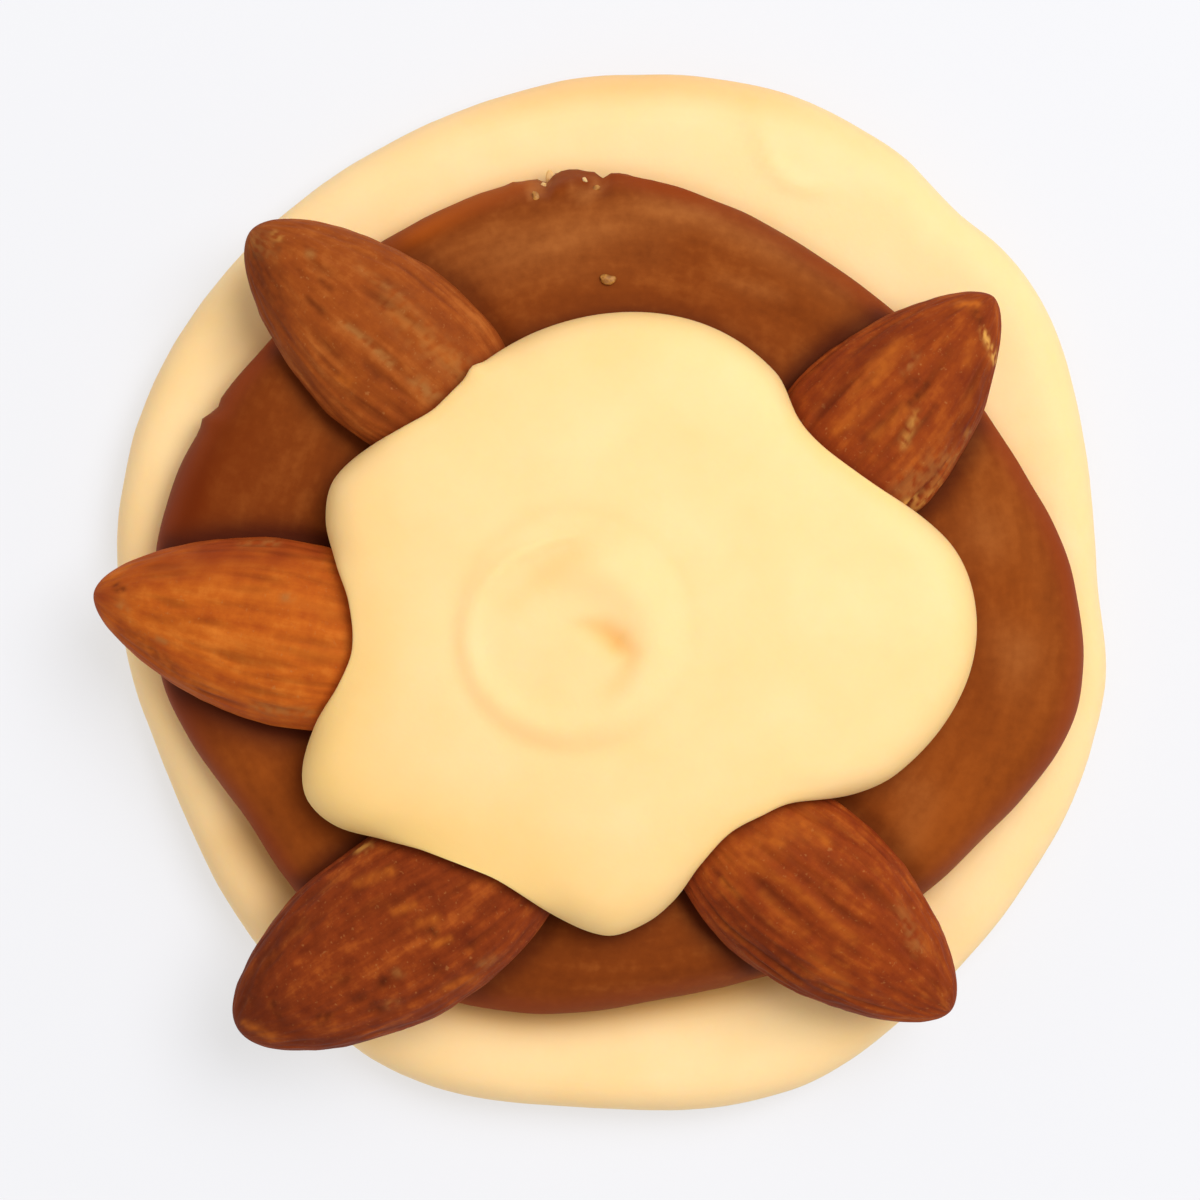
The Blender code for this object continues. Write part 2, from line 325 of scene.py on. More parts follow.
# Almonds. The tip is the outer point in plan and the heading runs from it to the inner end; all in
# millimetres and degrees. Marks are brush strokes in plan: dark furrows, pits and shaded edges, whose
# dark is partly painted shade; light streaks, partly rubbed skin and partly painted highlight on the
# ridges; dusty scuffs; bare places where the skin is off; and wide strokes of a deeper roast together
# with painted shade on the shaded side. The gloom is the painted shade on the caramel in the gap beside
# the almond: how dark and how wide, on the left of its heading and on the right.
almondHeight = 12.0
almondBelly = 0.55        # where it is thickest, as a share of the length
almondHead = {
    "tip": (-35.5, -0.25), "heading": -11, "droop": 8, "roll": 2,
    "length": 24.0, "width": 12.9, "thick": 7.4, "widest": 0.60, "fullness": 0.41, "bend": 0.15,
    "groove": 0.09, "seed": 2, "gloom": ((1.0, 1.2), (1.0, 1.6)),
    "darkTone": "#8E3A14", "skin": ("#A54A16", "#BA5D1B", "#CE7429"),
    "dark": [
        ((-33.7, 0.3, 0.35, 0.8), (-33.3, 0.2, 0.25, 0.7)),
        ((-33.2, -2.3, 0.5, 0.3), (-30.2, -5.0, 0.6, 0.5), (-27.5, -7.0, 0.4, 0.2)),
    ],
    "light": [
        ((-27.0, 0.5, 0.5, 0.3), (-18.5, -1.4, 0.5, 0.5)),
        ((-25.0, -3.6, 0.5, 0.5), (-18.0, -4.4, 0.4, 0.6)),
    ],
    "dust": [
        ((-33.4, -1.0, 0.35, 0.5), (-33.0, -1.2, 0.3, 0.4)),
        ((-21.9, -0.4, 0.3, 0.6), (-21.5, -0.4, 0.3, 0.5)),
        ((-30.8, -3.2, 0.25, 0.5), (-30.2, -3.5, 0.2, 0.6)),
        ((-25.0, 3.3, 0.3, 0.3), (-22.6, 3.4, 0.3, 0.5)),
        ((-24.0, -8.0, 0.4, 0.5), (-20.4, -8.3, 0.4, 0.5)),
    ],
    "shade": [
        ((-35.0, -0.6, 1.6, 0.8), (-33.4, -0.4, 1.2, 0.4)),
        ((-33.6, -3.0, 0.9, 0.6), (-30.0, -6.2, 0.8, 0.4),
         (-24.7, -8.0, 0.8, 0.4), (-20.5, -8.6, 0.8, 0.3)),
        ((-32.0, 1.6, 1.2, 0.6), (-26.0, 3.0, 1.7, 1.0), (-20.0, 2.9, 1.5, 0.8)),
    ],
}
almondFrontRight = {
    "tip": (-24.5, 25.0), "heading": -40.5, "droop": 4, "roll": -3,
    "length": 23.2, "width": 12.4, "thick": 7.2, "widest": 0.58, "fullness": 0.42,
    "groove": 0.12, "seed": 1, "gloom": ((0.3, 0.9), (0.45, 0.95)),
    "darkTone": "#6A2C12", "skin": ("#7F3914", "#914618", "#A85C26"),
    "dark": [
        ((-24.2, 23.2, 0.9, 0.6), (-23.6, 21.4, 0.8, 0.5), (-22.2, 18.6, 0.6, 0.3)),
        ((-22.7, 23.9, 0.35, 0.5), (-22.5, 23.6, 0.3, 0.5)),
        ((-20.4, 20.0, 0.3, 0.4), (-19.4, 19.2, 0.3, 0.4)),
        ((-19.5, 21.3, 0.25, 0.4), (-18.8, 20.7, 0.25, 0.4)),
        ((-16.4, 15.5, 0.25, 0.4), (-15.4, 14.4, 0.25, 0.5)),
    ],
    "light": [
        ((-18.0, 14.5, 0.4, 0.6), (-17.6, 14.3, 0.4, 0.6)),
        ((-14.5, 19.0, 0.5, 0.4), (-10.5, 15.8, 0.5, 0.5)),
    ],
    "dust": [
        ((-18.1, 18.5, 0.25, 0.5), (-16.3, 17.1, 0.3, 0.8), (-14.7, 15.6, 0.35, 0.7)),
        ((-13.0, 14.4, 0.5, 0.6), (-11.8, 13.5, 0.6, 0.7)),
        ((-16.9, 22.3, 0.3, 0.4), (-13.8, 20.0, 0.3, 0.4)),
        ((-20.3, 23.2, 0.3, 0.7), (-20.1, 23.1, 0.25, 0.6)),
        ((-24.2, 24.2, 0.9, 0.35), (-23.2, 23.4, 0.7, 0.3)),
        ((-14.6, 19.8, 1.1, 0.3), (-12.2, 17.0, 1.1, 0.35), (-9.8, 15.2, 1.0, 0.4)),
    ],
    "bare": [((-22.8, 24.6, 0.3, 0.5), (-22.4, 24.3, 0.25, 0.4))],
    "shade": [((-24.0, 24.2, 1.2, 0.5), (-24.0, 21.2, 1.0, 0.5), (-21.4, 16.4, 0.8, 0.3))],
}
almondFrontLeft = {
    "tip": (-25.5, -30.4), "heading": 32, "droop": 9, "roll": 3,
    "length": 26.4, "width": 13.0, "thick": 7.4, "widest": 0.545, "fullness": 0.44,
    "groove": 0.12, "seed": 3, "gloom": ((0.8, 1.0), (0.6, 1.2)),
    "darkTone": "#501A0B", "skin": ("#66240E", "#823513", "#A8531E"),
    "dark": [
        ((-24.8, -28.4, 0.7, 0.5), (-23.3, -25.2, 0.8, 0.5), (-21.0, -22.2, 0.6, 0.3)),
        ((-11.9, -23.3, 0.35, 0.8), (-11.6, -23.4, 0.3, 0.7)),
        ((-15.2, -26.7, 0.45, 0.8), (-14.9, -26.5, 0.35, 0.7)),
        ((-18.0, -26.7, 0.45, 0.5), (-17.6, -26.5, 0.35, 0.5)),
        ((-17.0, -27.9, 0.45, 0.6), (-16.6, -27.8, 0.35, 0.5)),
        ((-19.5, -29.4, 0.5, 0.8), (-19.0, -29.2, 0.4, 0.6)),
        ((-11.6, -25.9, 0.35, 0.6), (-11.2, -25.8, 0.35, 0.6)),
        ((-9.2, -24.2, 0.3, 0.6), (-9.0, -24.4, 0.3, 0.5)),
        ((-9.2, -25.7, 0.3, 0.6), (-9.0, -25.7, 0.3, 0.5)),
        ((-15.9, -28.5, 0.4, 0.7), (-15.4, -28.7, 0.4, 0.6)),
        ((-22.9, -28.3, 0.25, 0.7), (-22.4, -29.5, 0.25, 0.6)),
    ],
    "light": [
        ((-17.0, -19.9, 0.35, 0.5), (-14.6, -19.1, 0.35, 0.7)),
        ((-14.3, -21.8, 0.3, 0.7), (-13.1, -21.4, 0.3, 0.6)),
        ((-12.7, -22.7, 0.3, 0.6), (-11.5, -22.3, 0.3, 0.6)),
        ((-11.7, -24.1, 0.25, 0.8), (-10.6, -23.7, 0.25, 0.7)),
        ((-25.0, -29.9, 0.3, 0.5), (-23.0, -30.9, 0.35, 0.5)),
        ((-11.0, -27.2, 0.3, 0.5), (-8.8, -26.5, 0.3, 0.5)),
    ],
    "dust": [
        ((-14.4, -26.1, 0.35, 0.5), (-13.8, -26.0, 0.35, 0.4)),
        ((-8.4, -25.6, 0.4, 0.4), (-7.6, -25.2, 0.4, 0.3)),
        ((-14.8, -28.3, 0.35, 0.4), (-14.2, -28.2, 0.3, 0.3)),
    ],
    "bare": [((-17.0, -17.7, 0.3, 0.7), (-16.2, -17.5, 0.3, 0.6))],
    "shade": [
        ((-25.0, -27.4, 1.2, 0.5), (-22.4, -23.4, 1.2, 0.4)),
        ((-25.0, -29.8, 1.8, 0.6), (-22.0, -28.2, 1.4, 0.3)),
        ((-23.0, -30.6, 1.0, 0.4), (-17.0, -31.0, 0.8, 0.4)),
    ],
}
almondRearLeft = {
    "tip": (24.0, -29.1), "heading": 140.5, "droop": 8, "roll": -4,
    "length": 24.4, "width": 12.6, "thick": 7.2, "widest": 0.57, "fullness": 0.45,
    "groove": 0.17, "seed": 4, "gloom": ((0.9, 1.2), (0.3, 0.9)),
    "darkTone": "#581D0C", "skin": ("#742A10", "#8A3913", "#A8541C"),
    "dark": [
        ((12.1, -17.6, 0.3, 0.25), (13.9, -19.6, 0.35, 0.35),
         (15.5, -21.2, 0.35, 0.35), (17.5, -22.9, 0.35, 0.25)),
        ((10.3, -19.6, 0.3, 0.2), (12.1, -20.9, 0.35, 0.28),
         (13.7, -22.6, 0.35, 0.35), (17.0, -24.8, 0.4, 0.25)),
        ((12.6, -16.0, 0.3, 0.3), (13.9, -17.3, 0.3, 0.3),
         (16.5, -19.3, 0.3, 0.25), (18.5, -20.6, 0.3, 0.1)),
        ((8.5, -23.0, 0.4, 0.3), (9.6, -24.5, 0.4, 0.3)),
        ((8.0, -21.5, 0.6, 0.4), (12.0, -25.2, 0.6, 0.5), (16.0, -28.2, 0.5, 0.4)),
    ],
    "light": [
        ((9.4, -18.0, 0.4, 0.6), (10.9, -19.0, 0.4, 0.4),
         (12.9, -20.2, 0.35, 0.4), (17.0, -23.9, 0.4, 0.5)),
        ((10.5, -16.7, 0.4, 0.7), (12.0, -17.2, 0.35, 0.6)),
        ((13.3, -15.6, 0.4, 0.7), (15.1, -17.1, 0.4, 0.6)),
        ((8.1, -19.8, 0.4, 0.7), (9.0, -20.7, 0.4, 0.5)),
        ((10.7, -20.7, 0.35, 0.3), (12.0, -22.1, 0.4, 0.3), (13.7, -23.4, 0.35, 0.3)),
        ((14.2, -25.1, 0.4, 0.4), (16.5, -26.9, 0.4, 0.4)),
        ((8.4, -18.4, 1.2, 0.35), (11.0, -17.0, 1.3, 0.4), (14.0, -15.4, 1.2, 0.3)),
    ],
    "dust": [((20.2, -21.6, 0.5, 0.3), (21.4, -24.4, 0.6, 0.4))],
    "shade": [
        ((6.6, -19.6, 0.8, 0.2), (8.0, -22.6, 1.1, 0.3),
         (12.6, -27.0, 1.0, 0.35), (18.0, -29.6, 0.8, 0.3)),
        ((22.6, -27.6, 1.2, 0.3), (23.4, -28.6, 0.9, 0.3)),
    ],
}
almondRearRight = {
    "tip": (26.9, 20.4), "heading": 227.5, "droop": 4, "roll": 4,
    "length": 23.2, "width": 12.3, "thick": 7.2, "widest": 0.58, "fullness": 0.47,
    "groove": 0.14, "seed": 5, "gloom": ((0.8, 1.1), (0.95, 1.15)),
    "darkTone": "#5A1E0C", "skin": ("#722910", "#873812", "#A24F1A"),
    "dark": [
        ((25.5, 19.2, 0.4, 0.6), (25.9, 18.6, 0.35, 0.6)),
        ((23.6, 16.6, 0.3, 0.3), (21.7, 13.6, 0.35, 0.5),
         (19.9, 12.4, 0.3, 0.5), (17.6, 10.4, 0.3, 0.4)),
        ((20.6, 14.6, 0.35, 0.5), (21.2, 14.4, 0.35, 0.5)),
        ((20.6, 10.2, 0.25, 0.5), (22.6, 12.6, 0.25, 0.5)),
    ],
    "light": [
        ((24.3, 19.8, 0.3, 0.8), (25.7, 19.8, 0.3, 0.8)),
        ((25.2, 17.2, 0.35, 0.4), (24.8, 15.7, 0.35, 0.4)),
        ((20.2, 17.1, 0.4, 0.4), (19.1, 15.6, 0.45, 0.5), (18.4, 14.2, 0.45, 0.5)),
        ((18.0, 12.9, 0.4, 0.4), (16.6, 11.5, 0.45, 0.5), (15.8, 11.0, 0.4, 0.5)),
        ((20.5, 12.4, 0.35, 0.5), (19.4, 11.3, 0.4, 0.5), (18.4, 10.6, 0.4, 0.4)),
    ],
    "dust": [
        ((20.6, 15.2, 0.35, 0.6), (21.2, 16.2, 0.35, 0.5)),
        ((25.0, 10.8, 0.4, 0.6), (25.5, 10.4, 0.4, 0.5)),
        ((23.8, 8.6, 0.35, 0.5), (24.7, 9.9, 0.35, 0.4)),
        ((20.4, 6.8, 1.0, 0.4), (23.2, 9.0, 1.1, 0.4)),
    ],
    "bare": [
        ((26.0, 17.9, 0.25, 0.9), (26.6, 16.7, 0.28, 1.0), (26.9, 15.8, 0.25, 0.9)),
        ((20.4, 10.0, 0.35, 0.4), (21.3, 12.0, 0.35, 0.5)),
        ((21.3, 5.6, 0.45, 0.5), (23.1, 7.2, 0.45, 0.4)),
        ((20.6, 6.0, 0.3, 0.9), (21.3, 6.4, 0.25, 0.8)),
    ],
    "shade": [
        ((14.6, 12.6, 0.8, 0.4), (20.0, 18.0, 0.8, 0.4)),
        ((25.8, 14.8, 0.9, 0.4), (24.8, 11.2, 1.0, 0.4)),
    ],
}
almonds = {
    "almond_head": almondHead, "almond_front_right": almondFrontRight, "almond_front_left": almondFrontLeft,
    "almond_rear_left": almondRearLeft, "almond_rear_right": almondRearRight,
}


def almondPlace(almond):
    turn = (
        Matrix.Rotation(math.radians(almond["heading"]), 4, "Z")
        @ Matrix.Rotation(math.radians(-almond["droop"]), 4, "Y")
        @ Matrix.Rotation(math.radians(almond["roll"]), 4, "X")
    )
    along = turn @ Vector((almond["length"] * mm / 2, 0, 0))
    tip = Vector((almond["tip"][0] * mm + along.x, almond["tip"][1] * mm + along.y, almondHeight * mm))
    return np.array(Matrix.Translation(tip) @ turn)


def almondSection(almond, share):
    # sideways middle, half width and half thickness at a share of the length from the tip
    share = np.clip(share, 0, 1)
    side = np.sin(np.pi * share ** (math.log(0.5) / math.log(almond["widest"])))
    belly = np.sin(np.pi * share ** (math.log(0.5) / math.log(almondBelly)))
    middle = almond.get("bend", 0) * mm * (1 - share) ** 2
    halfWidth = almond["width"] * mm / 2 * np.maximum(side, 0) ** almond["fullness"]
    halfThick = almond["thick"] * mm / 2 * np.maximum(belly, 0) ** 0.5
    return middle, halfWidth, halfThick


def almondTops(x, y):
    # height of the almonds over places in plan, how far each place is from the nearest almond, and the
    # gloom, painted shade beside them
    tops = np.zeros(len(x))
    beside = np.full(len(x), np.inf)
    gloom = np.zeros(len(x))
    tip = 0.01          # share of the length at each end that is too narrow to count
    for almond in almonds.values():
        place = almondPlace(almond)
        local = (np.stack((x, y, np.full(len(x), almondHeight * mm)), 1) - place[:3, 3]) @ place[:3, :3]
        share = local[:, 0] / (almond["length"] * mm) + 0.5
        middle, halfWidth, halfThick = almondSection(almond, np.clip(share, tip, 1 - tip))
        across = np.abs(local[:, 1] - middle) / halfWidth
        over = (across < 1) & (share > tip) & (share < 1 - tip)
        lift = halfThick * np.sqrt(np.clip(1 - across * across, 0, 1))
        surface = np.stack((local[:, 0], local[:, 1], lift), 1) @ place[:3, :3].T + place[:3, 3]
        tops = np.where(over, np.maximum(tops, surface[:, 2]), tops)
        pastEnds = np.maximum(np.abs(share - 0.5) - 0.5, 0) * almond["length"] * mm
        gap = np.hypot(np.maximum(np.abs(local[:, 1] - middle) - halfWidth, 0), pastEnds)
        gap = np.where(over, 0, gap)
        beside = np.minimum(beside, gap)
        onLeft = local[:, 1] > middle
        for onSide, (strength, width) in zip((onLeft, ~onLeft), almond["gloom"]):
            gloom = np.where(onSide, np.maximum(gloom, strength * hump(gap, width * mm)), gloom)
    return tops, beside, gloom


# white chocolate base, poured in one round pool with low swells and a fold mark where it ran together
base = {
    "centre": (0.0, 0.0), "radius": 36.0, "bottom": 0.0, "sides": 300, "topRings": 64,
    "side": quarterRound(1.1, 1.8, 3.6, 6.0, square=0.75),
    "outline": (
        (0, 35.2), (12, 35.4), (34, 37.4), (41, 37.4), (47, 36.9), (56, 37.6), (68, 37.8), (90, 36.8),
        (115, 35.5), (138, 35.4), (160, 35.4), (180, 34.7), (205, 33.8), (224, 35.2), (246, 37.3),
        (268, 36.8), (290, 37.9), (308, 37.0), (328, 36.5), (349, 36.3),
    ),
    "foldMark": (
        (10.4, 34.6, 0.5, 0.4), (10.7, 32.6, 0.5, 0.8), (11.6, 30.2, 0.5, 1.0), (12.8, 28.9, 0.5, 1.0),
        (14.6, 28.3, 0.5, 0.8), (16.6, 28.4, 0.5, 0.4),
    ),
    # the fold mark's height in millimetres, and the strength of the painted shade along it
    "foldHeight": 0.22, "foldShade": 0.14,
    # swells on the top, and how the side wanders in and out, as (lump size, seed, height), and the
    # heights and the distances out over which they come in
    "swells": ((11, 1, 0.15), (4.5, 2, 0.04)), "swellsDown": 0.10, "upper": (1.2, 5.4),
    "wander": ((5, 3, 0.12), (1.8, 4, 0.03)), "wanderIn": 0.1, "outer": (25, 34),
    # warm rim, painted shade where the edge rolls away, from and to as shares of the way out, and a stretch
    # of deeper painted shade: (strength, degrees, half width)
    "rim": (0.905, 0.972), "rimShadeAll": 0.12, "rimShadeStretch": (0.48, 86, 22),
}

baseLayer = pourRound("white_chocolate_base", base)
points, degrees, reach, edge = layOnOutline(baseLayer, base)
upper = smoothStep(points[:, 2] / mm, *base["upper"])
fold = brush(points, base["foldMark"])
swell = layered(points * flat, base["swells"])
points[:, 2] += upper * (swell + (base["foldHeight"] * fold - base["swellsDown"]) * mm)
wander = layered(points, base["wander"]) - base["wanderIn"] * mm
outer = smoothStep(reach / mm, *base["outer"])
points[:, :2] *= (1 + wander / (base["radius"] * mm) * outer)[:, None]
writePoints(baseLayer, points)
# painted shade at the rolled edge of the base, deepest along its top edge
strength, at, width = base["rimShadeStretch"]
rimShade = base["rimShadeAll"] + strength * hump((degrees - at + 180) % 360 - 180, width)
paint(baseLayer, "rim", smoothStep(reach / edge, *base["rim"]) * rimShade)
# painted shade along the fold mark
paint(baseLayer, "hollow", fold * base["foldShade"])
handOver(baseLayer, "base")


# caramel disc: full-edged, with long low waves that run round with the pour
caramel = {
    "centre": (1.0, 0.0), "radius": 30.0, "bottom": 5.8, "sides": 320, "topRings": 90,
    "side": quarterRound(0.6, 1.6, 4.2, 5.4, square=0.8),
    "outline": (
        (0, 32.0), (22, 28.9), (52, 27.3), (72, 27.9), (84, 28.8), (94, 29.4), (120, 29.5), (144, 30.1),
        (168, 32.2), (190, 32.6), (210, 30.6), (221, 30.8), (235, 31.6), (256, 30.3), (276, 28.7),
        (288, 28.7), (300, 29.4), (324, 30.6), (344, 33.0),
    ),
    # waves along the pour, which is laid round a tube of this radius, and swells: rows as for the base
    "pourGirth": 9, "waves": ((3.2, 5, 0.08),), "swells": ((7, 6, 0.08),), "swellsDown": 0.05,
    # dip beside an almond (depth, half width), and heights over which the top and the side come in
    "dip": (0.30, 0.8), "upper": (7.0, 10.4), "aboveFoot": (6.0, 7.4),
    # broken stretch of the rim (degrees, half width): what it rises and loses, and how it is pushed out
    "rim": (0.90, 0.98), "crumbly": (96, 8), "crumbRise": ((1.0, 7, 0.55),), "crumbLoss": 0.165,
    "crumbPush": ((0.9, 8, 0.25),), "rimPush": ((3.5, 9, 0.10),),
    # places where the rim broke or bulged: degrees, half width in degrees, millimetres outwards
    "chips": (
        (100.2, 0.7, -0.45), (96.6, 2.0, 0.30), (92.4, 0.8, -0.40), (89.6, 1.2, 0.15), (104.5, 0.8, 0.15),
        (157.6, 0.9, 0.30), (155.4, 0.8, -0.20),
    ),
    # painted sheen in pale streaks, and pale smears on the broken rim
    "sheenAndSmears": (
        (
            (-12.6, 22.8, 1.2, 0.2), (-7.3, 24.1, 1.5, 0.45), (-2.9, 25.0, 1.5, 0.55), (2.6, 26.2, 1.2, 0.6),
            (6.6, 26.0, 0.9, 0.5), (11.0, 23.8, 0.9, 0.45), (16.5, 20.7, 0.8, 0.35),
        ),
        ((-11.0, 21.2, 1.6, 0.2), (-4.0, 22.6, 1.8, 0.25), (3.0, 23.4, 1.6, 0.2)),
        ((25.4, 6.0, 1.2, 0.15), (26.2, 4.2, 1.6, 0.35), (27.0, 2.6, 1.2, 0.15)),
        ((27.2, -2.8, 1.4, 0.2), (28.4, -4.4, 1.7, 0.5), (28.2, -6.4, 1.6, 0.2)),
        ((8.2, 21.6, 0.5, 0.2), (10.4, 20.9, 0.6, 0.45), (12.4, 20.4, 0.5, 0.2)),
        ((19.6, -12.6, 1.2, 0.15), (21.8, -14.2, 1.4, 0.3), (20.8, -17.4, 1.4, 0.2)),
        ((-0.9, 28.7, 0.3, 0.5), (-0.4, 28.2, 0.4, 0.8), (-1.3, 27.2, 0.4, 0.6)),
        ((-2.2, 28.2, 0.35, 0.5), (-1.8, 27.4, 0.4, 0.4)),
        ((-5.2, 28.4, 0.35, 0.8), (-4.9, 27.6, 0.4, 0.8), (-4.2, 28.6, 0.4, 0.8)),
    ),
    # how red the rim is, round the pour: (degrees, strength)
    "redRim": ((0, 1.1), (25, 1.0), (180, 0.9), (270, 0.8), (300, 0.6), (322, 0.3), (340, 0.5)),
    "redSpan": (0.935, 0.99),
    # patches in the red and in the strokes: lump size, seed, mean, swing
    "redPatches": (2.5, 13, 0.8, 0.6), "strokePatches": (1.6, 10, 1.0, 0.5),
    # painted shade, deeper red on the left; painted light, warmer and lighter on the right and at the
    # lower left; and a thin bright rim, painted light where light comes through it
    "deepShade": (((-31, 9, 7, 1), (-31, -4, 7, 1)),),
    "warmLight": (
        ((28, 7, 4, 0.3), (30, -8, 6, 0.5), (24, -17, 6, 0.75)), ((-25, -14, 5, 0.7), (-22, -18, 4, 0.6)),
    ),
    "glow": (((-14.8, 23.8, 0.8, 0.4), (-9.6, 27.2, 0.9, 0.9), (-5.6, 28.6, 0.7, 0.5)),),
}

caramelLayer = pourRound("caramel_disc", caramel)
points, degrees, reach, edge = layOnOutline(caramelLayer, caramel)
turn = np.radians(degrees)
girth = caramel["pourGirth"] * mm
pourPlace = np.stack((np.cos(turn) * girth, np.sin(turn) * girth, reach), 1)
upper = smoothStep(points[:, 2] / mm, *caramel["upper"])
waves = layered(pourPlace, caramel["waves"]) + layered(points * flat, caramel["swells"])
beside = almondTops(*points[:, :2].T)[1]
depth, width = caramel["dip"]
points[:, 2] += upper * (waves - (caramel["swellsDown"] + depth * hump(beside, width * mm)) * mm)
nearRim = smoothStep(reach / edge, *caramel["rim"])
at, width = caramel["crumbly"]
crumbly = hump(degrees - at, width) * nearRim
points[:, 2] += crumbly * upper * (layered(points, caramel["crumbRise"]) - caramel["crumbLoss"] * mm)
push = crumbly * layered(points, caramel["crumbPush"]) + nearRim * layered(points, caramel["rimPush"])
aboveFoot = smoothStep(points[:, 2] / mm, *caramel["aboveFoot"])
for at, width, outward in caramel["chips"]:
    push += outward * mm * hump(degrees - at, width) * nearRim * aboveFoot
centre = np.array(caramel["centre"]) * mm
points[:, :2] += (points[:, :2] - centre) / reach[:, None] * push[:, None]
writePoints(caramelLayer, points)
paint(caramelLayer, "pour", pourPlace / mm)
redness = roundAbout(caramel["redRim"], degrees) * patchy(pourPlace, *caramel["redPatches"])
paint(caramelLayer, "rim", np.clip(smoothStep(reach / edge, *caramel["redSpan"]) * redness, 0, 1))
uneven = patchy(pourPlace, *caramel["strokePatches"])
for name in ("sheenAndSmears", "deepShade", "warmLight", "glow"):
    strokes = sum(brush(points, path) for path in caramel[name])
    paint(caramelLayer, name, np.clip(strokes, 0, 1) * uneven)
handOver(caramelLayer, "caramel")


# white chocolate dollop: five lobes run out between the almonds, and its edge lies on their backs
dollop = {
    "centre": (1.0, -2.0), "radius": 21.0, "bottom": 10.6, "sides": 360, "topRings": 104,
    "side": quarterRound(0.7, 1.2, 3.8, 6.0, low=6, high=18, square=0.72),
    "outline": (
        (0, 24.6), (12, 23.6), (26, 20.1), (34, 18.8), (42, 18.2), (49, 18.5), (58, 20.2), (78, 21.3),
        (106, 20.7), (130, 19.2), (138, 19.8), (153, 21.9), (161, 21.4), (168, 19.9), (176, 18.5),
        (186, 18.3), (193, 19.7), (199, 22.1), (205, 24.1), (210, 24.8), (216, 24.1), (223, 22.0),
        (230, 20.5), (242, 19.5), (250, 19.8), (267, 21.7), (275, 20.9), (281, 19.6), (288, 17.6),
        (297, 16.3), (306, 16.4), (314, 17.2), (324, 20.2), (331, 21.8), (348, 24.1),
    ),
    # the round side is a lip up to lipLine and rises to the dome from there to crown; the dome's top,
    # and how far it falls at a distance out
    "lipLine": 1.2, "crown": 6.0, "top": 18.8, "fall": 2.5, "fallRadius": 24.5,
    # the edge lies on what is just inside it, no lower than the caramel; the lip stands above that
    "restInset": 0.3, "restLevel": 11.1, "restSmoothing": 12, "lip": 1.0, "sink": 0.5,
    "swells": ((7, 11, 0.07), (2.6, 12, 0.015)),
    # a small drip onto the front right almond: degrees, half width in degrees, millimetres outwards
    "drip": (120.2, 1.8, 0.32), "dripSpan": (0.93, 0.99),
    # painted shade: a warm rim, and a wider shade in from it: (degrees, strength)
    "rim": (0.90, 1.0), "rimStrength": 0.4, "rimShadeSpan": (0.60, 1.0),
    "rimShadeRound": ((0, 0.0), (150, 0.2), (180, 0.35), (205, 0.6), (230, 0.6), (268, 0.4), (300, 0.1)),
}
# Swirl that the piping left: a ring groove, a ridge that winds in and swells, a hollow and a pit.
# Each has its depth in millimetres, the strength of its tint, which is painted shade in the low
# places, and its stroke.
swirlCentre = (-2.2, -2.6)
swirl = {
    "groove": (0.10, 0.10, aroundPath(swirlCentre, (
        (0, 8.1, 0.6, 0.5), (60, 8.0, 0.6, 0.3), (110, 8.1, 0.7, 1), (160, 8.1, 0.7, 0.8),
        (200, 8.1, 0.7, 0.9), (250, 8.2, 0.8, 1), (300, 8.2, 0.8, 0.8), (330, 8.2, 0.7, 0.4),
        (360, 8.1, 0.6, 0.5),
    ))),
    "ridge": (-0.60, 0, aroundPath(swirlCentre, (
        (85, 6.3, 0.4, 0.1), (115, 6.2, 0.5, 0.35), (141, 6.5, 0.6, 0.4), (185, 7.1, 0.8, 0.32),
        (213, 7.2, 1.0, 0.4), (265, 6.7, 1.3, 0.6), (298, 6.3, 1.5, 0.68), (333, 5.8, 1.7, 0.76),
        (360, 5.5, 1.9, 0.84), (394, 4.9, 2.0, 1.0), (425, 4.4, 1.7, 0.84), (455, 4.0, 1.1, 0.4),
        (480, 3.8, 0.8, 0.0),
    ))),
    "hollow": (0.16, 0.20, (
        (-6.6, -1.2, 0.9, 0.4), (-4.4, 1.2, 1.3, 1.0), (-2.4, 2.6, 1.5, 0.9), (-0.6, 3.8, 1.2, 0.4),
    )),
    "pit": (0.34, 0.66, (
        (-2.3, -2.2, 0.6, 0.15), (-1.2, -2.4, 0.7, 0.45), (-0.1, -2.8, 0.9, 0.8), (0.7, -3.4, 0.95, 1.0),
        (1.6, -4.2, 0.8, 0.5), (1.4, -5.2, 0.8, 0.3), (0.8, -6.2, 0.8, 0.2), (-0.4, -7.2, 0.8, 0.1),
    )),
}

dollopLayer = pourRound("white_chocolate_dollop", dollop)
rise = readPoints(dollopLayer)[:, 2] / mm - dollop["bottom"]
points, degrees, reach, edge = layOnOutline(dollopLayer, dollop)

# what the edge lies on, all round: the caramel, or an almond's back
centre = np.array(dollop["centre"]) * mm
ringDegrees = np.arange(0, 361, 1.0)
turn = np.radians(ringDegrees)
ringOut = outlineRadius(dollop["outline"], ringDegrees) - dollop["restInset"] * mm
ringTops = almondTops(centre[0] + ringOut * np.cos(turn), centre[1] + ringOut * np.sin(turn))[0]
under = np.maximum(ringTops, dollop["restLevel"] * mm)[:-1]
for i in range(dollop["restSmoothing"]):
    under = (np.roll(under, 1) + under + np.roll(under, -1)) / 3
under = np.interp(degrees % 360, ringDegrees, np.append(under, under[0]))

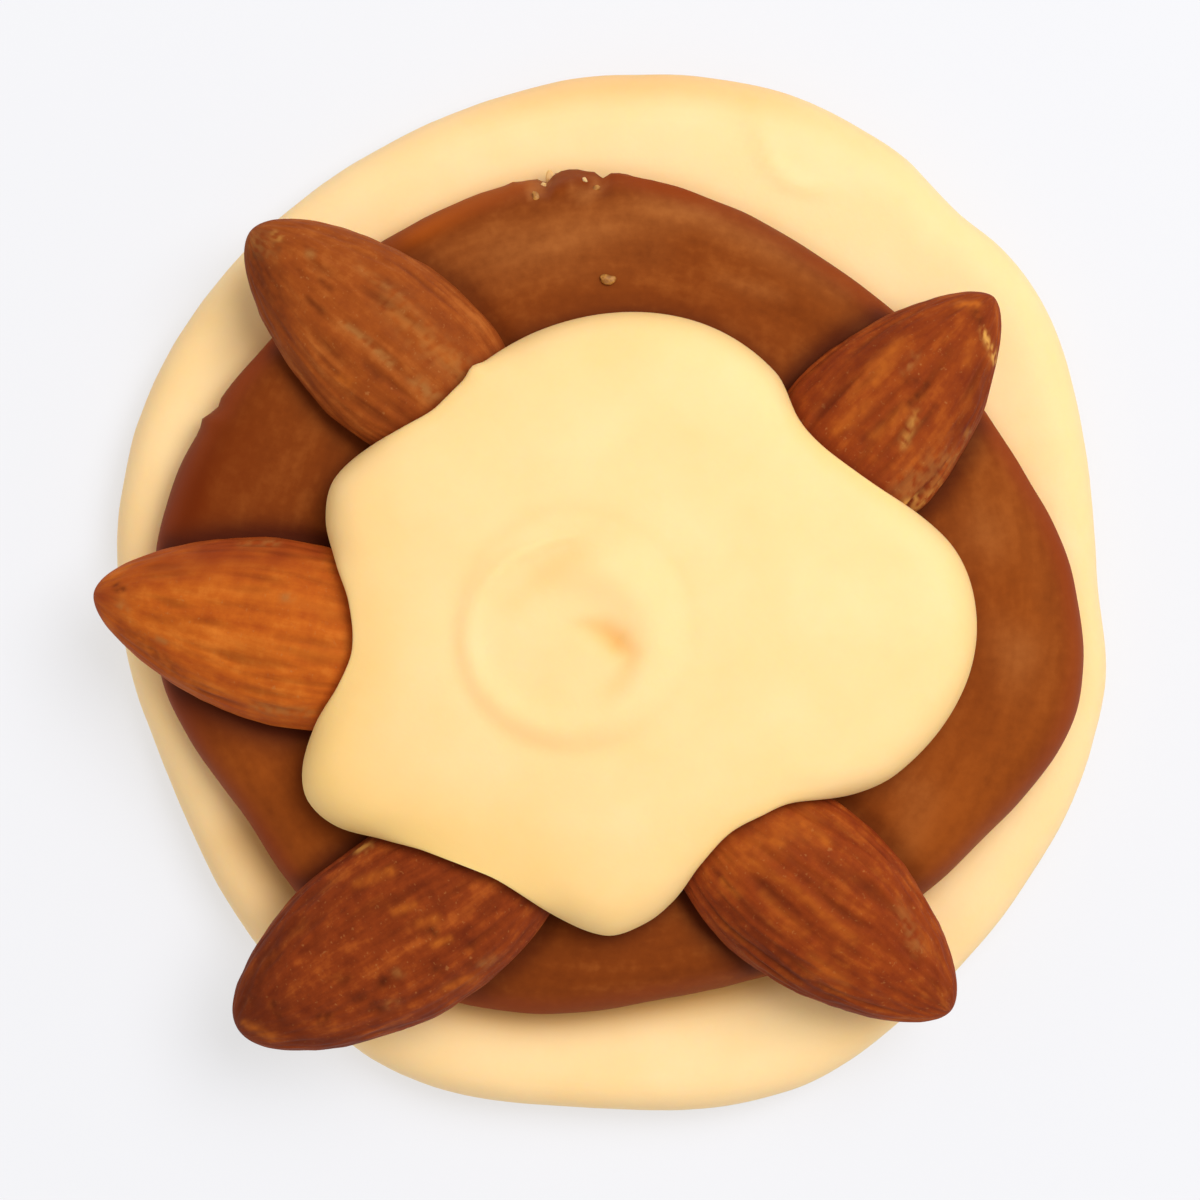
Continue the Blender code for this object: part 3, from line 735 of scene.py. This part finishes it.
out = np.hypot(*(points[:, :2] - centre).T) / (dollop["fallRadius"] * mm)
dome = dollop["top"] * mm - dollop["fall"] * mm * out * out
swirlShade = np.zeros(len(points))
for depth, tint, path in swirl.values():
    touch = brush(points, path)
    dome -= depth * mm * touch
    swirlShade = np.maximum(swirlShade, touch * tint)
low = under - dollop["sink"] * mm
lip = under + dollop["lip"] * mm
lower = np.clip(rise / dollop["lipLine"], 0, 1)
higher = np.clip((rise - dollop["lipLine"]) / (dollop["crown"] - dollop["lipLine"]), 0, 1)
points[:, 2] = np.where(rise < dollop["lipLine"], low + (lip - low) * lower, lip + (dome - lip) * higher)
points[:, 2] += layered(points * flat, dollop["swells"]) * higher
at, width, outward = dollop["drip"]
nearEdge = smoothStep(reach / edge, *dollop["dripSpan"])
out = points[:, :2] - centre
drip = outward * mm * hump(degrees - at, width) * nearEdge
points[:, :2] += out / np.hypot(*out.T)[:, None] * drip[:, None]
writePoints(dollopLayer, points)
# painted shade at the dollop's edge, deepest on the lower left
warmRimShade = smoothStep(reach / edge, *dollop["rim"]) * dollop["rimStrength"]
wideRimShade = smoothStep(reach / edge, *dollop["rimShadeSpan"]) * roundAbout(dollop["rimShadeRound"], degrees)
paint(dollopLayer, "rim", np.maximum(warmRimShade, wideRimShade))
# painted shade in the swirl's low places
paint(dollopLayer, "hollow", swirlShade)
handOver(dollopLayer, "dollop")


# Narrow places beside what lies on top, which little light reaches: (degrees, strength) round the pour,
# half widths in millimetres, and the heights from which the caramel's top counts.
contact = {
    "caramelOnBase": (
        (0, 0.15), (60, 0.3), (100, 0.35), (140, 0.2), (175, 0.05), (206, 0.1), (213, 0.7), (224, 0.75),
        (250, 0.8), (285, 0.95), (320, 0.35), (345, 0.1),
    ),
    "shadeWidth": (
        (0, 0.5), (60, 0.7), (100, 0.9), (175, 0.5), (203, 0.8), (212, 2.4), (224, 2.4), (250, 1.5),
        (285, 1.6), (345, 0.5),
    ),
    "dollopOnCaramel": (
        (0, 0.2), (45, 0.5), (75, 0.65), (110, 0.6), (150, 0.5), (180, 0.4), (225, 0.5), (270, 0.7),
        (300, 0.6), (330, 0.3),
    ),
    "lipWidths": (0.5, 1.3), "creviceSpan": (8.6, 10.2),
}
points = readPoints(caramelLayer)
onTop = smoothStep(points[:, 2] / mm, *contact["creviceSpan"])
crevice = almondTops(*points[:, :2].T)[2] * onTop
besideDollop, degrees = besideLayer(points, dollop)
lipShade = np.mean([hump(besideDollop, width * mm) for width in contact["lipWidths"]], 0)
lipShade *= roundAbout(contact["dollopOnCaramel"], degrees)
paint(caramelLayer, "crevice", np.clip(np.maximum(crevice, lipShade), 0, 1))
points = readPoints(baseLayer)
besideCaramel, degrees = besideLayer(points, caramel)
shade = hump(besideCaramel, roundAbout(contact["shadeWidth"], degrees) * mm)
paint(baseLayer, "shade", shade * roundAbout(contact["caramelOnBase"], degrees))


# Relief of the skin: lumps are (lump size, seed, height), the other patterns (lump size, seed, mean, swing),
# and each kind of mark has its height and how much of it is never broken up.
skinRelief = {
    "girth": (2.6, 2.4), "stretch": 0.13, "endFade": 0.6, "facing": 4,
    "wrinkles": (0.75, 0, 0, 2), "creases": (0.38, 20, 0.5, 0.5), "furrowTone": 0.4,
    "lumps": ((3.6, 40, 0.12), (1.1, 60, 0.035)), "sunk": 0.04,
    "breaks": (0.45, 80, 0, 1), "breakSpan": (-0.45, 0.25),
    "marks": {"dark": (-0.13, 0.4), "light": (0.04, 0.5), "dust": (0.03, 0), "bare": (0, 0)},
    "shadePatches": (1.4, 90, 1, 0.4), "besideDollop": (0.65, 0.55),
}


def shapeAlmond(name, almond):
    # a ball with its poles at the almond's ends, drawn out long and then given the almond's sections
    bpy.ops.mesh.primitive_uv_sphere_add(
        segments=200, ring_count=150, radius=1, rotation=(0, math.pi / 2, 0))
    nut = bpy.context.object
    nut.name = name + "_nut"
    bpy.ops.object.transform_apply(location=True, rotation=True, scale=True)
    bpy.ops.object.shade_smooth()
    ball = readPoints(nut)
    along = np.clip(ball[:, 0], -1, 1)
    around = np.arctan2(ball[:, 2], ball[:, 1])
    middle, halfWidth, halfThick = almondSection(almond, (1 + along) / 2)
    length = almond["length"] * mm
    place = almondPlace(almond)

    def laid(depth):
        # the skin's points in the part, moved out by depth
        local = np.stack((
            along * length / 2,
            middle + (halfWidth + depth) * np.cos(around),
            (halfThick + depth) * np.sin(around),
        ), 1)
        return local @ place[:3, :3].T + place[:3, 3]

    # wrinkles run the length of the skin and close up at both ends
    slim, wide = skinRelief["girth"]
    girth = (slim + wide * halfWidth / halfWidth.max()) * mm
    skinPlace = np.stack((np.cos(around) * girth, np.sin(around) * girth, along * length / 2), 1)
    stretched = skinPlace * (1, 1, skinRelief["stretch"])
    seed = almond["seed"]
    ends = np.clip(1 - along ** 2, 0, 1) ** skinRelief["endFade"]
    wrinkle = patchy(stretched, *skinRelief["creases"], seed)
    wrinkle -= np.abs(patchy(stretched, *skinRelief["wrinkles"], seed))
    relief = layered(skinPlace, skinRelief["lumps"], seed)
    relief += (wrinkle * almond["groove"] - skinRelief["sunk"]) * mm

    # marks are on the upper side, and partly broken up
    facing = np.clip(np.sin(around) * skinRelief["facing"], 0, 1)
    broken = smoothStep(patchy(skinPlace, *skinRelief["breaks"], seed), *skinRelief["breakSpan"])
    bare = laid(0)
    marks = {}
    for kind, (height, whole) in skinRelief["marks"].items():
        marks[kind] = np.zeros(len(ball))
        for path in almond.get(kind, []):
            touch = brush(bare, path) * facing * (whole + (1 - whole) * broken)
            marks[kind] = np.maximum(marks[kind], touch)
        relief += height * mm * marks[kind]
    # wide strokes: deeper roast, and painted shade on the shaded side
    shade = sum(brush(bare, path) for path in almond["shade"])
    shade *= patchy(skinPlace, *skinRelief["shadePatches"], seed)
    # painted shadow on the skin beside the dollop's edge
    strength, width = skinRelief["besideDollop"]
    shade = np.maximum(shade, strength * hump(besideLayer(bare, dollop)[0], width * mm))
    writePoints(nut, laid(relief * ends))
    paint(nut, "skin", skinPlace / mm)
    furrow = np.clip(-wrinkle, 0, 1) * ends * skinRelief["furrowTone"]
    paint(nut, "furrow", np.clip(furrow + marks["dark"], 0, 1))
    paint(nut, "shade", np.clip(shade, 0, 1))
    paint(nut, "worn", np.clip(np.stack((marks["light"], marks["dust"], marks["bare"]), 1), 0, 1))
    handOver(nut, name)
    return nut


nuts = {name: shapeAlmond(name, almond) for name, almond in almonds.items()}


# crumbs: seed, slot, and places in plan with their size, in millimetres; a lump's lift is a share of it
crumbs = {
    "almond_crumbs": (3, "almond_skin", [(0.2, 21.6, 0.9), (-4.8, 27.4, 0.6), (-0.6, 28.0, 0.45)]),
    "white_chocolate_flecks": (
        8, "white_chocolate", [(-3.8, 28.9, 0.9), (-4.3, 28.3, 0.4), (-1.4, 28.6, 0.35)]),
}
lumpShape = {"rough": 0.38, "squash": (1.25, 0.95, 0.6), "lift": 0.12, "tip": 0.4}


def heightAt(x, y):
    # the highest surface over a place in millimetres
    above = 2 * dollop["top"] * mm
    layers = (caramelLayer, dollopLayer, *nuts.values())
    hits = [piece.ray_cast((x * mm, y * mm, above), (0, 0, -1)) for piece in layers]
    return max(point.z for found, point, _, _ in hits if found)


def scatter(name, seed, spots):
    # one lump is modelled, and each crumb is a copy of it, pressed a little into what it lies on
    bpy.ops.mesh.primitive_ico_sphere_add(subdivisions=3, radius=1)
    lump = bpy.context.object
    bpy.ops.object.mode_set(mode="EDIT")
    bpy.ops.mesh.select_all(action="SELECT")
    bpy.ops.transform.vertex_random(offset=lumpShape["rough"], uniform=0.9, normal=0.7, seed=seed)
    bpy.ops.mesh.vertices_smooth(factor=0.5, repeat=3)
    bpy.ops.transform.resize(value=lumpShape["squash"])
    bpy.ops.object.mode_set(mode="OBJECT")
    bpy.ops.object.shade_smooth()
    copies = []
    for i, (x, y, size) in enumerate(spots):
        crumb = lump.copy()
        crumb.data = lump.data.copy()
        scene.collection.objects.link(crumb)
        tipped = Matrix.Rotation(lumpShape["tip"] * math.sin(i * 3.1), 4, "X")
        turned = Matrix.Rotation(i * 1.9 + seed, 4, "Z") @ tipped
        place = Matrix.Translation((x * mm, y * mm, heightAt(x, y) + lumpShape["lift"] * size * mm))
        crumb.data.transform(place @ turned @ Matrix.Diagonal((*[size * mm / 2] * 3, 1)))
        copies.append(crumb)
    bpy.data.objects.remove(lump)
    bpy.ops.object.select_all(action="DESELECT")
    for crumb in copies:
        crumb.select_set(True)
    bpy.context.view_layer.objects.active = copies[0]
    bpy.ops.object.join()
    joined = bpy.context.object
    joined.name = name
    return joined


scattered = {}
for name, (seed, slot, spots) in crumbs.items():
    piece = scatter(name, seed, spots)
    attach(piece, "root")
    scattered[name] = piece
print("crumbs scattered")


def whiteChocolate(name, tint, rimShadeTint, hollowShadeTint):
    # Poured white chocolate: satin, fatty and slightly see-through, so shadows in it turn warm
    made, tree, shader = newMaterial(name)
    allOver = objectPlace(tree)
    cloud = addNode(tree, "TexNoise", {"Scale": 0.16, "Detail": 3.0}, allOver)    # 6 mm
    speck = addNode(tree, "TexNoise", {"Scale": 2.2, "Detail": 4.0}, allOver)     # 0.45 mm
    clouded = addNode(
        tree, "ValToRGB", {}, {"Fac": cloud}, ramp=[(0.3, tint[0]), (0.7, tint[1])])
    # painted shade: warm at the rolled edges, in the fold and the swirl's low places, and beside the caramel
    layers = [
        (addNode(tree, "Attribute", attribute_name=painted).outputs["Fac"], code)
        for painted, code in (("rim", rimShadeTint), ("hollow", hollowShadeTint), ("shade", "#C08E46"))]
    dull = addNode(tree, "MapRange", {"To Min": 0.50, "To Max": 0.66}, {"Value": speck})
    bump = addNode(tree, "Bump", {"Strength": 0.30, "Distance": 0.04 * mm}, {"Height": speck})
    wire(tree, shader, {
        "IOR": 1.46, "Specular IOR Level": 0.3, "Subsurface Weight": 0.35,
        "Subsurface Radius": (1.0, 0.62, 0.25), "Subsurface Scale": 1.2 * mm,
    }, {
        "Base Color": layColours(tree, clouded, layers),
        "Roughness": dull, "Normal": bump,
    })
    return made


def setCaramel():
    # Set caramel: soft gloss, reddish brown, paler and duller in the long streaks that the pour leaves
    made, tree, shader = newMaterial("set_caramel")
    pour, rim = [addNode(tree, "Attribute", attribute_name=painted) for painted in ("pour", "rim")]
    alongPour = {"Vector": pour.outputs["Vector"]}
    streak = addNode(tree, "TexNoise", {"Scale": 0.32, "Detail": 3.0}, alongPour)           # 3 mm
    fine = addNode(tree, "TexNoise", {"Scale": 1.4, "Detail": 4.0}, objectPlace(tree))      # 0.7 mm
    drawn = addNode(tree, "Mapping", {"Scale": (0.5, 0.5, 1)}, alongPour)
    wisp = addNode(tree, "TexNoise", {"Scale": 1.1, "Detail": 4.0}, {"Vector": drawn})   # 0.9 mm
    wavy = addNode(tree, "Mix", {0: 0.4}, {2: streak, 3: wisp})
    uneven = addNode(tree, "Mix", {0: 0.3}, {2: wavy, 3: fine})
    broken = addNode(
        tree, "MapRange", {"From Min": 0.3, "From Max": 0.7, "To Min": 0.35, "To Max": 1.5},
        {"Value": uneven})
    colour = addNode(
        tree, "ValToRGB", {}, {"Fac": uneven},
        ramp=[(0.36, "#6A2E0F"), (0.52, "#783712"), (0.66, "#8A471B")])
    tones = (
        ("deepShade", "#662409"),       # painted shade, darker and redder on the left
        ("warmLight", "#8F4616"),       # painted light, warmer and lighter on the right and at the lower left
        ("rim", "#86340A"),        # redder at the rim, where light comes through
        ("sheenAndSmears", "#A2602F"),      # painted sheen, pale where the light catches it, and pale smears on the rim
        ("glow", "#A44C0A"),       # painted light, brightest where the rim is thin and light comes through
        ("crevice", "#471A12"),    # painted shade beside the almonds and the dollop
    )
    layers = []
    for name, code in tones:
        amount = addNode(tree, "Attribute", attribute_name=name).outputs["Fac"]
        if name in ("warmLight", "sheenAndSmears"):
            amount = addNode(tree, "Math", {}, {0: amount, 1: broken}, operation="MULTIPLY")
        layers.append((amount, code))
    dull = addNode(tree, "MapRange", {"To Min": 0.42, "To Max": 0.56}, {"Value": uneven})
    rimDull = addNode(tree, "Mix", {3: 0.8}, {0: rim.outputs["Fac"], 2: dull})
    bump = addNode(tree, "Bump", {"Strength": 0.3, "Distance": 0.05 * mm}, {"Height": fine})
    wire(tree, shader, {"Specular IOR Level": 0.25, "Specular Tint": hexColour("#FFA04C")}, {
        "Base Color": layColours(tree, colour, layers),
        "Roughness": rimDull, "Normal": bump,
    })
    return made


def almondSkin(name, tones, darkTone, seed):
    # Roasted almond skin: dry and papery, with darker furrows that run from end to end
    made, tree, shader = newMaterial(name)
    painted = ("skin", "furrow", "shade", "worn")
    skin, furrow, shade, worn = [addNode(tree, "Attribute", attribute_name=name) for name in painted]
    wear = addNode(tree, "SeparateXYZ", {}, {0: worn.outputs["Vector"]})
    stretched = addNode(
        tree, "Mapping", {"Scale": (1, 1, 0.15), "Location": (seed * 3.7, seed * 1.9, seed)},
        {"Vector": skin.outputs["Vector"]})
    lengthwise = {"Vector": stretched}
    allOver = {"Vector": skin.outputs["Vector"]}
    streak = addNode(tree, "TexNoise", {"Scale": 0.9, "Detail": 5.0, "Roughness": 0.62}, lengthwise)   # 1 mm
    fine = addNode(tree, "TexNoise", {"Scale": 3.0, "Detail": 3.0}, lengthwise)    # 0.3 mm
    mottle = addNode(tree, "TexNoise", {"Scale": 0.8, "Detail": 5.0, "Roughness": 0.6}, allOver)    # 1.2 mm
    scurf = addNode(tree, "TexNoise", {"Scale": 4.0, "Detail": 2.0}, allOver)      # 0.25 mm
    mixed = addNode(tree, "Mix", {0: 0.45}, {2: streak, 3: mottle})
    colour = addNode(
        tree, "ValToRGB", {}, {"Fac": mixed},
        ramp=[(0.36, tones[0]), (0.52, tones[1]), (0.67, tones[2])])
    speck = addNode(
        tree, "MapRange", {"From Min": 0.65, "From Max": 0.75, "To Max": 0.35}, {"Value": scurf})
    layers = (
        (speck, "#B57A44"),                      # tiny papery specks
        (shade.outputs["Fac"], darkTone),        # deeper roast at the tip, painted shade along the shaded side, and painted shadow beside the dollop
        (furrow.outputs["Fac"], "#4A1A0A"),      # shadowed furrows and pits
        (wear.outputs[0], "#B8621F"),            # lighter streaks, partly rubbed skin and partly painted highlight on the ridges
        (wear.outputs[1], "#A06C38"),            # pale dust
        (wear.outputs[2], "#D49B4C"),            # bare kernel
    )
    dull = addNode(tree, "MapRange", {"To Min": 0.55, "To Max": 0.78}, {"Value": mottle})
    relief = addNode(tree, "Mix", {0: 0.4}, {2: fine, 3: mottle})
    bump = addNode(tree, "Bump", {"Strength": 0.6, "Distance": 0.10 * mm}, {"Height": relief})
    wire(tree, shader, {"IOR": 1.45, "Specular IOR Level": 0.28, "Specular Tint": hexColour("#FFA870")}, {
        "Base Color": layColours(tree, colour, layers),
        "Roughness": dull, "Normal": bump,
    })
    return made


def nutFlesh():
    # Almond kernel: pale yellow and dull, speckled where it broke
    made, tree, shader = newMaterial("broken_almond")
    grain = addNode(tree, "TexNoise", {"Scale": 3.0, "Detail": 3.0}, objectPlace(tree))    # 0.3 mm
    body = addNode(
        tree, "ValToRGB", {}, {"Fac": grain}, ramp=[(0.35, "#8C5512"), (0.65, "#B67C2E")])
    bump = addNode(tree, "Bump", {"Strength": 0.5, "Distance": 0.05 * mm}, {"Height": grain})
    wire(tree, shader, {"Roughness": 0.6}, {"Base Color": body, "Normal": bump})
    return made


pouredWhite = whiteChocolate(
    "poured_white_chocolate", ("#F9D69B", "#FBDBA5"), "#E8AE66", "#E6A850")
pipedWhite = whiteChocolate(
    "piped_white_chocolate", ("#F8CF91", "#FAD59C"), "#E4C06C", "#EAA84C")
smearedWhite = whiteChocolate(       # too thin to hide the caramel below
    "smeared_white_chocolate", ("#D6A468", "#E2B478"), "#D6A468", "#D6A468")
baseLayer.data.materials.append(pouredWhite)
dollopLayer.data.materials.append(pipedWhite)
caramelLayer.data.materials.append(setCaramel())
scattered["white_chocolate_flecks"].data.materials.append(smearedWhite)
scattered["almond_crumbs"].data.materials.append(nutFlesh())
for name, nut in nuts.items():
    almond = almonds[name]
    title = "roasted_skin_" + name.removeprefix("almond_")
    nut.data.materials.append(almondSkin(title, almond["skin"], almond["darkTone"], almond["seed"]))
print("materials set")
